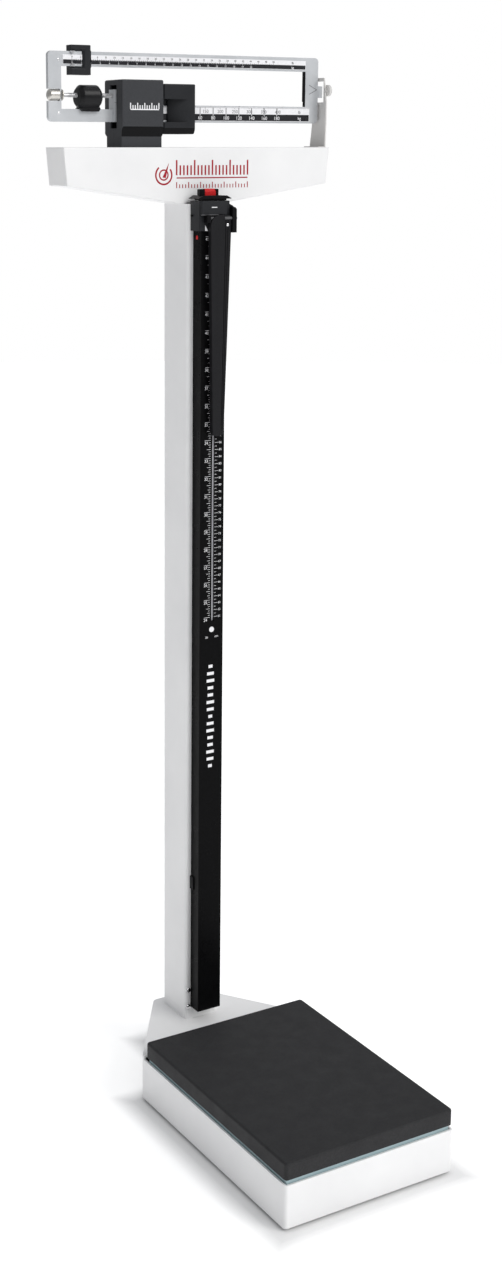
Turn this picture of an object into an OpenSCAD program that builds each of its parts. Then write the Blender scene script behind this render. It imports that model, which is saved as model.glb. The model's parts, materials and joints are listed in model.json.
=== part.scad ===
// Physician beam scale: weighing platform, column, height rod and balance beam.
// Millimetres. +Z is up, the user stands on the platform at -Y and reads the beam at the rear.
// The origin is on the floor, under the centre of the base.

/* [Base] */
// Width of the base
base_w = 269.2; // [260:0.2:280]
// Length of the base's wide front part
wide_len = 369.4; // [360:0.2:380]
// Length of the tapered shelf behind it
tail_len = 138.6; // [130:0.2:150]
// Width of the tapered shelf at its rear end
tail_w = 75.8; // [70:0.2:90]
// Height of the base's rim
rim_z = 66; // [60:1:70]
// Height of the rear shelf's top
tail_z = 71.6; // [70:0.2:80]
// Height of the rubber feet below the base
foot_h = 5; // [4:0.5:10]

/* [Platform] */
// Width of the platform cover
deck_w = 267; // [255:1:268]
// Length of the platform cover
deck_len = 360; // [350:1:362]
// Height of the platform's top above the floor
deck_z = 95.7; // [94:0.1:98]
// Height of the platform cover's skirt
deck_h = 23.3; // [20:0.1:25]

/* [Column] */
// Width of the column
col_w = 56; // [52:1:60]
// Depth of the column
col_d = 67.4; // [60:0.2:70]
// Height of the column's top above the floor
col_z = 1272.6; // [1272:0.1:1274]
// Distance from the base's centre to the column's front face
col_front = 175.2; // [174:0.2:177]

/* [Height rod] */
// Width of the rod's housing
rail_w = 38.6; // [36:0.2:40]
// Depth of the rod's housing
rail_d = 21.6; // [20:0.2:24]
// Height of the housing's lower end
rail_z0 = 94.1; // [90:0.1:100]
// Height of the housing's upper end
rail_z1 = 1276; // [1270:1:1278]
// Lower end of the slot in the housing's front
slot_z0 = 690; // [680:1:700]
// Length of the headpiece
blade_len = 301; // [280:1:310]
// Thickness of the headpiece
blade_t = 8; // [7:0.5:8]

/* [Beam] */
// Height of the beam shelf's top
shelf_z = 1347.5; // [1347:0.5:1348]
// Width of the beam shelf
shelf_w = 419.2; // [410:0.2:420]
// Depth of the beam shelf
shelf_d = 54.4; // [54:0.2:56]
// Left end of the beam
beam_x0 = -219; // [-220:1:-218]
// Right end of the beam
beam_x1 = 205; // [204:0.5:205]
// Underside of the beam
beam_z0 = 1380.3; // [1380:0.1:1381]
// Top of the beam
beam_z1 = 1470; // [1469:0.1:1470]
// Thickness of the beam
beam_t = 6; // [5:0.5:6]
// Place of the beam's fulcrum across the scale
fulcrum_x = -89; // [-90:1:-88]
// Height of the beam's fulcrum
fulcrum_z = 1408; // [1407:0.5:1409]

/* [Hidden] */
$fn = 64;
// Cuts run this far past a face
eps = 1;
wall = 3;
sheet = 2;

// Base outline
front_y = -(wide_len + tail_len) / 2;
step_y = front_y + wide_len;
rear_y = step_y + tail_len;
pan_z = foot_h + 4;

// Platform
deck_y0 = front_y + 1.2;
deck_y1 = deck_y0 + deck_len;
deck_top = 3;
deck_in = deck_z - deck_top;

// Levers: pins along X, all at one height
pin_x = 100;
lever_z = 42;
pin_r = 3;
run_gap = 0.06;
arm = 50;
long_y = -215;
short_y = 85;
link_y = (long_y + short_y) / 2;

// Column and the draw rod in it
col_rear = col_front + col_d;
col_y = (col_front + col_rear) / 2;
rail_y0 = col_front - rail_d;
rail_y = col_front - rail_d / 2;
screw_x = 23.7;
screw_zs = [92.1, 118.6];

// Beam, shelf and tower share one centre plane
beam_y = 211.7;
shelf_y0 = beam_y - shelf_d / 2;
low_bar = 17.7;
top_bar = 19;
// The bar right of the tower is taller and has the detents
notch_bar = 22.7;
left_bar = 19;
right_bar = 21.4;
tower_x0 = -121.5;
tower_x1 = -58.2;
tower_front = 24.5;
tower_rear = 26.3;
tower_slot_z = 1372;
tower_z = 1435;
load_x = fulcrum_x - 20;
load_z = beam_z0 + 8.5;
tab_z = 1423.7;
tab_h = 16.2;
lock_y = 194;
lock_z = 1425.3;

// Transfer lever in the beam shelf
xfer_x = -150;
xfer_z = 1311;

// Balance screw
bal_z = 1414.3;
screw_r = 3;
knob_x0 = -217.8;
knob_x1 = -197.8;
knob_r = 7.3;
web_x = -202.2;
web_t = 2;
weight_x0 = -176.2;
weight_len = 32.8;
weight_r = 15.7;
// The weight hangs this far below the screw
weight_drop = 2.3;
post_x0 = -124.4;
post_x1 = -115;

// Poises
main_x0 = -56.5;
main_x1 = -8;
small_x0 = -187.5;
small_x1 = -157;

// Height rod's slider and headpiece
slider_z0 = 1237;
slider_z1 = 1277;
slide_gap = 0.3;
blade_x0 = -10.5;
blade_x1 = 24;
blade_y0 = 142.9;
hinge_y = blade_y0 + blade_t / 2;
hinge_z = 1254;
// The button and its pocket in the rod's cap
cap_z0 = 1279.6;
cap_z1 = 1284;
button_x0 = -9.7;
button_x1 = 7.5;
button_y0 = 160.5;
button_y1 = 166.2;
pocket_z = 1280.8;

// A rectangle with round corners, centred on the origin.
module round_rect(w, d, r) {
    square([w - 2 * r, d], center = true);
    square([w, d - 2 * r], center = true);
    for (sx = [-1, 1], sy = [-1, 1])
        translate([sx * (w / 2 - r), sy * (d / 2 - r)]) circle(r);
}

// A box given by its two corners.
module block(low, high) {
    translate(low) cube(high - low);
}

// A cylinder along X, from x0 to x1, at y and z.
module rod_x(x0, x1, y, z, r) {
    translate([x0, y, z]) rotate([0, 90, 0]) cylinder(h = x1 - x0, r = r);
}

// A cylinder along Y, from y0 to y1, at x and z.
module rod_y(y0, y1, x, z, r) {
    translate([x, y1, z]) rotate([90, 0, 0]) cylinder(h = y1 - y0, r = r);
}

// A flat shape drawn in X and Z, thick along Y from y0 to y1.
module plate_xz(y0, y1) {
    translate([0, y1, 0]) rotate([90, 0, 0]) linear_extrude(height = y1 - y0) children();
}

// Copies of its children at the left and right.
module both_sides() {
    children();
    mirror([1, 0, 0]) children();
}

// The base's outline, drawn smaller all round by inset.
module base_outline(inset) {
    w = base_w / 2 - inset;
    t = tail_w / 2 - inset;
    polygon([[-w, front_y + inset], [w, front_y + inset], [w, step_y - inset], [t, rear_y - inset],
        [-t, rear_y - inset], [-w, step_y - inset]]);
}

// ---- Base ----

module base_cover() {
    color("white") difference() {
        union() {
            translate([0, 0, foot_h]) linear_extrude(height = rim_z - foot_h) base_outline(0);
            intersection() {
                translate([0, 0, foot_h]) linear_extrude(height = tail_z - foot_h) base_outline(0);
                block([-base_w, step_y - 4, foot_h], [base_w, rear_y + eps, tail_z]);
            }
        }
        difference() {
            translate([0, 0, foot_h - eps]) linear_extrude(height = tail_z) base_outline(wall);
            block([-base_w, step_y - 4, tail_z - wall], [base_w, rear_y + eps, tail_z + eps]);
        }
        translate([0, beam_y, 0]) cylinder(h = tail_z + eps, r = 14);
    }
}

module base_frame() {
    color("dimgray") difference() {
        translate([0, 0, foot_h]) linear_extrude(height = pan_z - foot_h) base_outline(wall);
        block([-70, -190, 0], [70, 60, pan_z + eps]);
    }
}

module feet() {
    color("#222222") {
        for (sx = [-1, 1], y = [front_y + 30, step_y - 30])
            translate([sx * (base_w / 2 - 30), y, 0]) cylinder(h = foot_h, r = 16);
        for (sx = [-1, 1])
            translate([sx * 22, rear_y - 22, 0]) cylinder(h = foot_h, r = 10);
    }
}

// One stand for a lever's fulcrum pin.
module lever_stand(y) {
    difference() {
        block([pin_x - 5, y - 9, pan_z], [pin_x + 5, y + 9, lever_z + 9]);
        rod_x(pin_x - 6, pin_x + 6, y, lever_z, pin_r + run_gap);
    }
}

module lever_stands() {
    color("gray") both_sides() {
        lever_stand(long_y);
        lever_stand(short_y);
    }
}

// ---- Column ----

module column_foot() {
    color("dimgray") difference() {
        translate([0, col_y, tail_z]) linear_extrude(height = 58)
            round_rect(col_w - 2 * sheet - 0.4, col_d - 2 * sheet - 0.4, 4);
        translate([0, beam_y, tail_z - eps]) cylinder(h = 60, r = 14);
        for (z = screw_zs) both_sides() rod_y(col_front, col_front + 14, screw_x, z, 2);
    }
}

module column() {
    color("white") difference() {
        translate([0, col_y, tail_z]) linear_extrude(height = col_z - tail_z) round_rect(col_w, col_d, 6);
        translate([0, col_y, tail_z - eps]) linear_extrude(height = col_z)
            round_rect(col_w - 2 * sheet, col_d - 2 * sheet, 4);
        for (z = screw_zs) both_sides() rod_y(col_front - eps, col_front + 4, screw_x, z, 2);
    }
}

module column_screws() {
    color("silver") for (z = screw_zs) both_sides() {
        rod_y(col_front - 3, col_front, screw_x, z, 4);
        rod_y(col_front, col_front + 12, screw_x, z, 2);
    }
}

module column_head() {
    color("dimgray") difference() {
        translate([0, col_y, col_z - 40]) linear_extrude(height = 40)
            round_rect(col_w - 2 * sheet - 0.4, col_d - 2 * sheet - 0.4, 4);
        translate([0, beam_y, col_z - 41]) cylinder(h = 42, r = 14);
    }
}

// ---- Beam shelf ----

// The shelf's front outline, drawn smaller all round by inset.
module shelf_outline(inset) {
    top = shelf_z - inset;
    half = shelf_w / 2 - inset;
    polygon([[-half, top], [-half + 4.6, 1297.5 + inset], [-35, col_z + inset], [35, col_z + inset],
        [half - 4.6, 1297.5 + inset], [half, top]]);
}

module beam_shelf() {
    color("white") difference() {
        plate_xz(shelf_y0, shelf_y0 + shelf_d) shelf_outline(0);
        plate_xz(shelf_y0 + sheet, shelf_y0 + shelf_d - sheet) shelf_outline(sheet);
        translate([0, beam_y, col_z - eps]) cylinder(h = 5, r = 14);
        translate([load_x, beam_y, shelf_z - 4]) cylinder(h = 6, r = 6);
        for (sx = [-1, 1]) translate([sx * 20, beam_y, col_z - eps]) cylinder(h = 5, r = 2);
    }
}

module shelf_screws() {
    color("silver") for (sx = [-1, 1]) translate([sx * 20, beam_y, col_z]) {
        cylinder(h = sheet, r = 2);
        translate([0, 0, sheet]) cylinder(h = 2.2, r = 3.8);
    }
}

// The tower's solid shape, drawn smaller all round by inset: a hood with a sloped lower edge on a
// narrower foot.
module tower_solid(inset) {
    foot_top = 1361.5;
    hood_low = 1368;
    front_low = 1374.5;
    foot_in = 0.4;
    foot_back = 4.2;
    x0 = tower_x0 + inset;
    x1 = tower_x1 - inset;
    front = inset - tower_front;
    rear = tower_rear - inset;
    low = shelf_z - (inset > 0 ? eps : 0);
    intersection() {
        plate_xz(beam_y - 50, beam_y + 50) polygon([[x0 + foot_in, low], [x1 - foot_in, low],
            [x1 - foot_in, foot_top], [x1, hood_low], [x1, tower_z - inset], [x0, tower_z - inset],
            [x0, hood_low], [x0 + foot_in, foot_top]]);
        translate([x0 - eps, beam_y, 0]) rotate([90, 0, 90]) linear_extrude(height = x1 - x0 + 2 * eps)
            polygon([[front + foot_back, low], [rear - foot_back, low], [rear - foot_back, foot_top],
                [rear, hood_low], [rear, tower_z - inset], [front, tower_z - inset], [front, front_low],
                [front + foot_back, foot_top]]);
    }
}

// The tower with slots at both ends for the beam.
module tower_shell() {
    difference() {
        tower_solid(0);
        tower_solid(2.5);
        block([tower_x0 - eps, beam_y - 8.5, tower_slot_z], [tower_x1 + eps, beam_y + 8.5, 1428]);
    }
}

module tower_front_cover() {
    color("#444648") intersection() {
        tower_shell();
        block([tower_x0 - eps, 100, shelf_z], [tower_x1 + eps, beam_y, tower_z + eps]);
    }
}

module tower_rear_cover() {
    color("#444648") intersection() {
        tower_shell();
        block([tower_x0 - eps, beam_y, shelf_z], [tower_x1 + eps, 300, tower_z + eps]);
    }
}

module fulcrum_stand() {
    color("gray") {
        block([fulcrum_x - 13, beam_y - 17.5, shelf_z], [fulcrum_x + 21, beam_y + 17.5, shelf_z + 4]);
        for (s = [-1, 1]) {
            y = beam_y + s * 11.5;
            block([fulcrum_x - 11, y - 4, shelf_z + 4], [fulcrum_x + 11, y + 4, fulcrum_z - 8]);
        }
    }
}

module fulcrum_bearings() {
    color("silver") for (s = [-1, 1]) {
        y = beam_y + s * 11.5;
        plate_xz(y - 4, y + 4) polygon([
            [fulcrum_x - 8, fulcrum_z - 8], [fulcrum_x + 8, fulcrum_z - 8],
            [fulcrum_x + 8, fulcrum_z + 4], [fulcrum_x, fulcrum_z - 0.4], [fulcrum_x - 8, fulcrum_z + 4]]);
    }
}

module transfer_stand() {
    color("gray") for (s = [-1, 1]) {
        y = beam_y + s * 11.5;
        difference() {
            block([xfer_x - 9, y - 2, xfer_z - 9], [xfer_x + 9, y + 2, shelf_z - sheet]);
            rod_y(y - 3, y + 3, xfer_x, xfer_z, pin_r + run_gap);
        }
    }
}

// The bracket whose window limits the beam's swing.
module trig_loop() {
    x0 = 206.5;
    x1 = 208.5;
    color("gainsboro") difference() {
        union() {
            translate([x0, beam_y, 0]) rotate([90, 0, 90]) linear_extrude(height = x1 - x0) polygon([
                [-19.3, shelf_z], [17.6, shelf_z], [12.5, 1378.5], [15, 1400], [15, 1442.9], [-15, 1442.9],
                [-21, 1410], [-21, 1382]]);
            block([196.5, beam_y - 19, shelf_z], [x1, beam_y + 17, shelf_z + 1.2]);
        }
        block([x0 - eps, beam_y - 14.5, 1409.4], [x1 + eps, beam_y + 10, 1438]);
        block([x0 - eps, beam_y - 6.5, 1385], [x0 + 0.8, beam_y - 0.5, 1406]);
        rod_x(x0 - eps, x1 + eps, lock_y, lock_z, 2 + run_gap);
    }
}

module lock_knob() {
    color("silver") {
        rod_x(208.8, 214.8, lock_y, lock_z, 7.8);
        rod_x(206.6, 208.8, lock_y, lock_z, 2);
    }
}

// ---- Height rod ----

module rod_housing() {
    slot_x = 2.4;
    color("#2a2b2d") difference() {
        block([-rail_w / 2, rail_y0, rail_z0], [rail_w / 2, col_front, rail_z1]);
        block([-14.5, rail_y0 + 4, rail_z0 + 3], [14.5, col_front - 4, rail_z1 + eps]);
        block([slot_x - 2.4, rail_y0 - eps, slot_z0], [slot_x + 2.4, rail_y0 + 5, rail_z1 + eps]);
        rod_y(rail_y0 - eps, rail_y0 + 5, 0.6, slot_z0 - 12, 4);
        rod_x(-rail_w / 2 - eps, -16, rail_y + 1, 1228, 3);
    }
}

module housing_clips() {
    color("#303234") both_sides()
        block([rail_w / 2, col_front - 9, 281], [rail_w / 2 + 2, col_front, 301]);
}

module housing_end_cap() {
    color("#1f2022") difference() {
        block([-rail_w / 2, rail_y0, rail_z0 - 2.5], [rail_w / 2, col_front, rail_z0]);
        translate([0, rail_y, rail_z0 - 3]) cylinder(h = 4, r = 4);
    }
}

module rod_stop() {
    color("white") rod_y(rail_y0 - 0.2, rail_y0 + 4, 0.6, slot_z0 - 12, 4);
}

module rod_marker() {
    color("red") rod_x(-rail_w / 2, -16, rail_y + 1, 1228, 3);
}

module inner_rod() {
    color("whitesmoke") difference() {
        block([-14.2, rail_y0 + 4.3, 176], [14.2, col_front - 4.3, cap_z0]);
        block([-12.2, rail_y0 + 6.3, 175], [12.2, col_front - 6.3, 1276]);
    }
}

module rod_cap() {
    color("#2a2b2d") difference() {
        plate_xz(rail_y - 15, rail_y + 13) polygon([[-25.7, cap_z0], [25.7, cap_z0], [25.7, cap_z0 + 0.8],
            [18.6, cap_z1], [-18.6, cap_z1], [-25.7, cap_z0 + 0.8]]);
        block([button_x0 - 0.3, button_y0 - 0.3, pocket_z], [button_x1 + 0.3, button_y1 + 0.3, cap_z1 + eps]);
    }
}

module button_housing() {
    color("#2a2b2d") difference() {
        block([-17.6, button_y0 - 0.5, cap_z1], [11.5, 169, 1292.5]);
        block([button_x0 - 0.3, button_y0 - 2, cap_z1 - eps], [button_x1 + 0.3, button_y1 + 0.3, 1293]);
    }
}

module release_button() {
    color("red") block([button_x0, button_y0, pocket_z + 2.3], [button_x1, button_y1, 1292.9]);
}

module button_spring() {
    x = (button_x0 + button_x1) / 2;
    y = (button_y0 + button_y1) / 2;
    color("silver") translate([x, y, pocket_z]) difference() {
        cylinder(h = 2.3, r = 2.6);
        translate([0, 0, -eps]) cylinder(h = 5, r = 2);
    }
}

// The sleeve that slides on the housing, open towards the column.
module slider() {
    color("#2a2b2d") difference() {
        union() {
            block([-rail_w / 2 - 4.6, rail_y0 - 2.4, slider_z0], [rail_w / 2 + 4.6, col_front - 0.4, slider_z1]);
            block([-22.4, rail_y0 - 6.6, 1258.8], [17, rail_y0 - 2.4, slider_z1]);
        }
        block([-rail_w / 2 - slide_gap, rail_y0 - slide_gap, slider_z0 - eps],
            [rail_w / 2 + slide_gap, col_front + eps, slider_z1 + eps]);
    }
}

module slider_ears() {
    ear_y0 = blade_y0 + 1;
    ear_y1 = rail_y0 - 2.4;
    ear_x0 = rail_w / 2 + 4.6;
    ear_x1 = 30.9;
    ear_z0 = 1234.5;
    color("#2a2b2d") difference() {
        union() {
            plate_xz(ear_y0, ear_y1) polygon([[blade_x1 + slide_gap, ear_z0], [ear_x1, ear_z0], [ear_x1, 1266],
                [28, 1268.6], [blade_x1 + slide_gap, 1268.6]]);
            plate_xz(ear_y1, rail_y0 + 9) polygon([[ear_x0, ear_z0], [ear_x1, ear_z0], [ear_x1, 1268.5],
                [28.5, 1270.5], [ear_x0, 1272.6]]);
            block([blade_x0 - 6, blade_y0 - 0.5, hinge_z - 6], [blade_x0 - slide_gap, ear_y1, 1258.6]);
        }
        rod_x(blade_x0 - 5, 40, hinge_y, hinge_z, 2);
    }
}

module hinge_screw() {
    color("silver") {
        rod_x(blade_x0 - 5, 30.9, hinge_y, hinge_z, 2);
        rod_x(30.9, 31.5, hinge_y, hinge_z, 3);
    }
}

module headpiece() {
    low = hinge_z + blade_t / 2 - blade_len;
    corner = 13;
    left_taper = 4.6;
    right_taper = 9.8;
    color("#252628") difference() {
        union() {
            plate_xz(blade_y0, blade_y0 + blade_t) {
                polygon([[blade_x0 + left_taper + 6, low], [blade_x1 - right_taper - 3, low],
                    [blade_x1 - right_taper, low + 3], [blade_x1, hinge_z - 12], [blade_x1, hinge_z],
                    [blade_x0 + corner, hinge_z], [blade_x0, hinge_z - corner],
                    [blade_x0 + left_taper, low + 6]]);
                intersection() {
                    translate([blade_x0 + corner, hinge_z - corner]) circle(corner);
                    translate([blade_x0, hinge_z - corner]) square(corner);
                }
            }
            rod_x(blade_x0 + corner, blade_x1, hinge_y, hinge_z, blade_t / 2);
        }
        rod_x(blade_x0 - eps, blade_x1 + eps, hinge_y, hinge_z, 2 + run_gap);
    }
}

// ---- Platform and levers ----

module platform_cover() {
    w = deck_w / 2;
    color("#323335") difference() {
        translate([0, (deck_y0 + deck_y1) / 2, deck_z - deck_h]) linear_extrude(height = deck_h)
            round_rect(deck_w, deck_len, 5);
        block([-w + 2.5, deck_y0 + 2.5, 0], [w - 2.5, deck_y1 - 2.5, deck_in]);
    }
}

// Half the width of the frame under the cover.
frame_w = base_w / 2 - wall - 2;

module platform_frame() {
    color("slategray") difference() {
        block([-frame_w, front_y + wall + 2, deck_in - 4], [frame_w, deck_y1 - 2.5, deck_in]);
        for (y = [-110, -10])
            block([-70, y - 34, deck_in - 5], [70, y + 34, deck_in + eps]);
    }
}

module platform_rim() {
    color("lightblue") difference() {
        block([-frame_w, front_y + wall + 2, 58], [frame_w, deck_y1 - 2.5, deck_in - 4]);
        block([-frame_w + 3, front_y + wall + 5, 57], [frame_w - 3, deck_y1 - 5.5, deck_in]);
    }
}

module platform_bearings() {
    color("gray") both_sides() for (y = [long_y + arm, short_y - arm]) difference() {
        block([pin_x - 5, y - 8, lever_z - 7], [pin_x + 5, y + 8, deck_in - 4]);
        rod_x(pin_x - 6, pin_x + 6, y, lever_z, pin_r + 0.4);
    }
}

module long_lever() {
    color("darkslategray") difference() {
        union() {
            both_sides() {
                block([80, long_y - 10, 36], [90, long_y + arm + 10, 48]);
                translate([0, 0, 36]) linear_extrude(height = 12)
                    polygon([[80, long_y + arm - 2], [90, long_y + arm + 10], [6, link_y + 24], [0, link_y + 24],
                        [0, link_y + 10]]);
            }
            block([-6, link_y - 10, 36], [6, beam_y - 12, 48]);
            block([-4, beam_y - 13, 36], [4, beam_y + 7, 48]);
        }
        for (y = [long_y, long_y + arm]) both_sides() rod_x(79, 91, y, lever_z, pin_r);
        rod_x(-7, 7, link_y, lever_z, 2);
        rod_x(-7, 7, beam_y, lever_z, 2.5);
        both_sides() block([6.5, link_y - 9, 35], [11, link_y + 9, 49]);
    }
}

module long_lever_pivots() {
    color("silver") {
        for (y = [long_y, long_y + arm]) both_sides() rod_x(80, pin_x + 6, y, lever_z, pin_r);
        rod_x(-10, 10, link_y, lever_z, 2);
        rod_x(-10, 10, beam_y, lever_z, 2.5);
    }
}

module short_lever() {
    color("darkslategray") difference() {
        union() {
            both_sides() {
                block([80, short_y - arm - 10, 36], [90, short_y + 10, 58]);
                translate([0, 0, 50]) linear_extrude(height = 8)
                    polygon([[80, short_y - arm + 2], [90, short_y - arm - 10], [6, link_y - 8], [0, link_y - 8],
                        [0, link_y + 8]]);
            }
        }
        for (y = [short_y, short_y - arm]) both_sides() rod_x(79, 91, y, lever_z, pin_r);
        rod_x(-10, 10, link_y, 54, 2);
        both_sides() block([6.5, link_y - 9, 49], [11, link_y + 8, 59]);
    }
}

module short_lever_pivots() {
    color("silver") {
        for (y = [short_y, short_y - arm]) both_sides() rod_x(80, pin_x + 6, y, lever_z, pin_r);
        rod_x(-10, 10, link_y, 54, 2);
    }
}

module lever_link() {
    color("silver") both_sides() difference() {
        block([7.2, link_y - 5, 36], [9.4, link_y + 5, 60]);
        rod_x(6, 11, link_y, 54, 2.5);
        rod_x(6, 11, link_y, lever_z, 2.5);
    }
}

// ---- Draw rod and transfer lever ----

module draw_rod() {
    color("silver") translate([0, beam_y, lever_z + 18]) cylinder(h = xfer_z - 18 - lever_z - 18, r = 3);
}

module draw_rod_clevises() {
    color("gray") {
        difference() {
            block([-9, beam_y - 5, lever_z - 6], [9, beam_y + 5, lever_z + 18]);
            block([-5, beam_y - 6, lever_z - 7], [5, beam_y + 6, lever_z + 12]);
            rod_x(-10, 10, beam_y, lever_z, 3);
        }
        difference() {
            block([-6, beam_y - 9, xfer_z - 18], [6, beam_y + 9, xfer_z + 7]);
            block([-7, beam_y - 5.4, xfer_z - 12], [7, beam_y + 5.4, xfer_z + 8]);
            rod_y(beam_y - 10, beam_y + 10, 0, xfer_z, 3);
        }
    }
}

module transfer_lever() {
    color("darkslategray") difference() {
        block([xfer_x - 8, beam_y - 5, xfer_z - 6], [6, beam_y + 5, xfer_z + 6]);
        for (x = [xfer_x, load_x, 0]) rod_y(beam_y - 6, beam_y + 6, x, xfer_z, x == xfer_x ? pin_r : 2.5);
    }
}

module transfer_pivots() {
    color("silver") {
        rod_y(beam_y - 14, beam_y + 14, xfer_x, xfer_z, pin_r);
        for (x = [load_x, 0]) rod_y(beam_y - 9.6, beam_y + 9.6, x, xfer_z, 2.5);
    }
}

module beam_link() {
    color("silver") {
        for (s = [-1, 1]) {
            y = beam_y + s * 7;
            difference() {
                block([load_x - 3, y - 1, shelf_z + 6], [load_x + 3, y + 1, load_z + 5]);
                rod_y(y - 2, y + 2, load_x, load_z, 2.6);
            }
            difference() {
                block([load_x - 4, y - 1, xfer_z - 5], [load_x + 4, y + 1, xfer_z + 16]);
                rod_y(y - 2, y + 2, load_x, xfer_z, 3);
            }
        }
        block([load_x - 3, beam_y - 8, shelf_z + 3], [load_x + 3, beam_y + 8, shelf_z + 6]);
        block([load_x - 4, beam_y - 8, xfer_z + 16], [load_x + 4, beam_y + 8, xfer_z + 19]);
        translate([load_x, beam_y, xfer_z + 19]) cylinder(h = shelf_z + 3 - xfer_z - 19, r = 2.5);
    }
}

// ---- Beam ----

// The beam's outline: a window between two bars, with a lug that bears the balance screw.
module beam_outline() {
    notch_h = 15.4;
    lug_h = 26;
    detent = 23.65;
    step_x = -60;
    win_x0 = beam_x0 + left_bar;
    win_x1 = beam_x1 - right_bar;
    win_z1 = beam_z1 - top_bar;
    difference() {
        translate([(beam_x0 + beam_x1) / 2, (beam_z0 + beam_z1) / 2])
            round_rect(beam_x1 - beam_x0, beam_z1 - beam_z0, 6);
        polygon([[win_x0, beam_z0 + low_bar], [step_x, beam_z0 + low_bar], [step_x, beam_z0 + notch_bar],
            [win_x1, beam_z0 + notch_bar], [win_x1, win_z1], [win_x0, win_z1]]);
        translate([beam_x0 - eps, bal_z - notch_h / 2]) square([web_x - beam_x0 + eps, notch_h]);
        translate([win_x0, beam_z0 + low_bar - 1.3]) square([post_x0 - win_x0, 3]);
        for (i = [0:8]) translate([-44 + detent * i, beam_z0 + notch_bar]) rotate(45) square(2.4, center = true);
    }
    translate([web_x, bal_z - lug_h / 2]) square([web_t, lug_h]);
    translate([fulcrum_x - 12, beam_z0 + low_bar - eps]) square([24, 26]);
}

module beam_frame() {
    y0 = beam_y - beam_t / 2;
    y1 = beam_y + beam_t / 2;
    color("silver") difference() {
        plate_xz(y0, y1) beam_outline();
        rod_y(y0 - eps, y1 + eps, fulcrum_x, fulcrum_z + 3.6, 4);
        rod_y(y0 - eps, y1 + eps, load_x, load_z, 2);
        rod_x(web_x - eps, web_x + web_t + eps, beam_y, bal_z, 2.4 + run_gap);
    }
}

// The knife edge at the fulcrum and the pin that carries the load.
module beam_pivots() {
    color("gray") {
        rod_y(beam_y - 3, beam_y + 3, fulcrum_x, fulcrum_z + 3.6, 4);
        for (s = [-1, 1]) {
            y = beam_y + s * 9.5;
            plate_xz(y - 6.5, y + 6.5) polygon([[fulcrum_x, fulcrum_z], [fulcrum_x + 3, fulcrum_z + 6],
                [fulcrum_x - 3, fulcrum_z + 6]]);
        }
        rod_y(beam_y - 9, beam_y + 9, load_x, load_z, 2);
    }
}

module beam_tip() {
    color("silver") block([beam_x1, beam_y - 2, tab_z - tab_h / 2], [213.5, beam_y + 2, tab_z + tab_h / 2]);
}

module balance_post() {
    color("silver") difference() {
        block([post_x0, beam_y - 7.5, beam_z0], [post_x1, beam_y + 7.5, bal_z + 8]);
        block([post_x0 - eps, beam_y - 3, beam_z0 - eps], [post_x1 + eps, beam_y + 3, beam_z0 + low_bar]);
        rod_x(post_x0 - eps, post_x1 + eps, beam_y, bal_z, screw_r + run_gap);
    }
}

module upper_scale() {
    color("white") block([-198, beam_y - beam_t / 2 - 0.8, 1453.4], [183, beam_y - beam_t / 2, 1465.6]);
}

module lower_scale() {
    color("white") block([-54, beam_y - beam_t / 2 - 0.8, 1382.4], [190.4, beam_y - beam_t / 2, 1401.5]);
}

module main_poise() {
    front = beam_y - 22.5;
    bar_top = beam_z0 + notch_bar;
    color("#444648") difference() {
        translate([main_x0, beam_y, 0]) rotate([90, 0, 90]) linear_extrude(height = main_x1 - main_x0)
            polygon([[-22.5, 1373], [-18.5, 1364.8], [22.5, 1364.8], [22.5, 1430.3], [-22.5, 1430.3]]);
        block([main_x0 - eps, beam_y - beam_t / 2 - 1.2, beam_z0 - 0.4],
            [main_x1 + eps, beam_y + beam_t / 2 + 0.4, bar_top + 0.4]);
        translate([0, 0, 1380.5]) linear_extrude(height = 30) polygon([[main_x0 - eps, front - eps],
            [-19, front - eps], [-42, beam_y - 6], [-42, beam_y - 3], [main_x0 - eps, beam_y - 3]]);
        block([-38, beam_y - 2, bar_top], [-28, beam_y + 2, 1422]);
    }
}

module main_poise_pawl() {
    color("silver") block([-37.9, beam_y - 1.9, beam_z0 + notch_bar + 0.6], [-28.1, beam_y + 1.9, 1419]);
}

module small_poise() {
    color("#252628") difference() {
        block([small_x0, beam_y - 7, 1440], [small_x1, beam_y + 7, 1478]);
        block([small_x0 - eps, beam_y - beam_t / 2 - 1.2, 1450.5], [small_x1 + eps, beam_y + beam_t / 2 + 0.4, beam_z1 + 0.4]);
        block([small_x0 - eps, beam_y - 8, 1450.5], [small_x1 - 12.5, beam_y, beam_z1 + 0.4]);
    }
}

module small_poise_pointer() {
    color("silver") {
        block([small_x0 + 1, beam_y - 8, 1445], [small_x0 + 4, beam_y - 7, 1450.3]);
        block([small_x0 + 1, beam_y - 8, 1470], [small_x0 + 4, beam_y - 7, 1475]);
    }
}

module balance_screw() {
    color("silver") {
        rod_x(web_x - 0.3, web_x + web_t + 0.3, beam_y, bal_z, 2.4);
        rod_x(web_x + web_t + 0.3, post_x1 - 0.5, beam_y, bal_z, screw_r);
    }
}

module balance_knob() {
    color("silver") {
        rod_x(knob_x0, web_x - 0.3, beam_y, bal_z, knob_r);
        difference() {
            rod_x(web_x + web_t + 0.3, knob_x1, beam_y, bal_z, knob_r);
            rod_x(web_x, knob_x1 + eps, beam_y, bal_z, screw_r);
        }
    }
}

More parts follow.
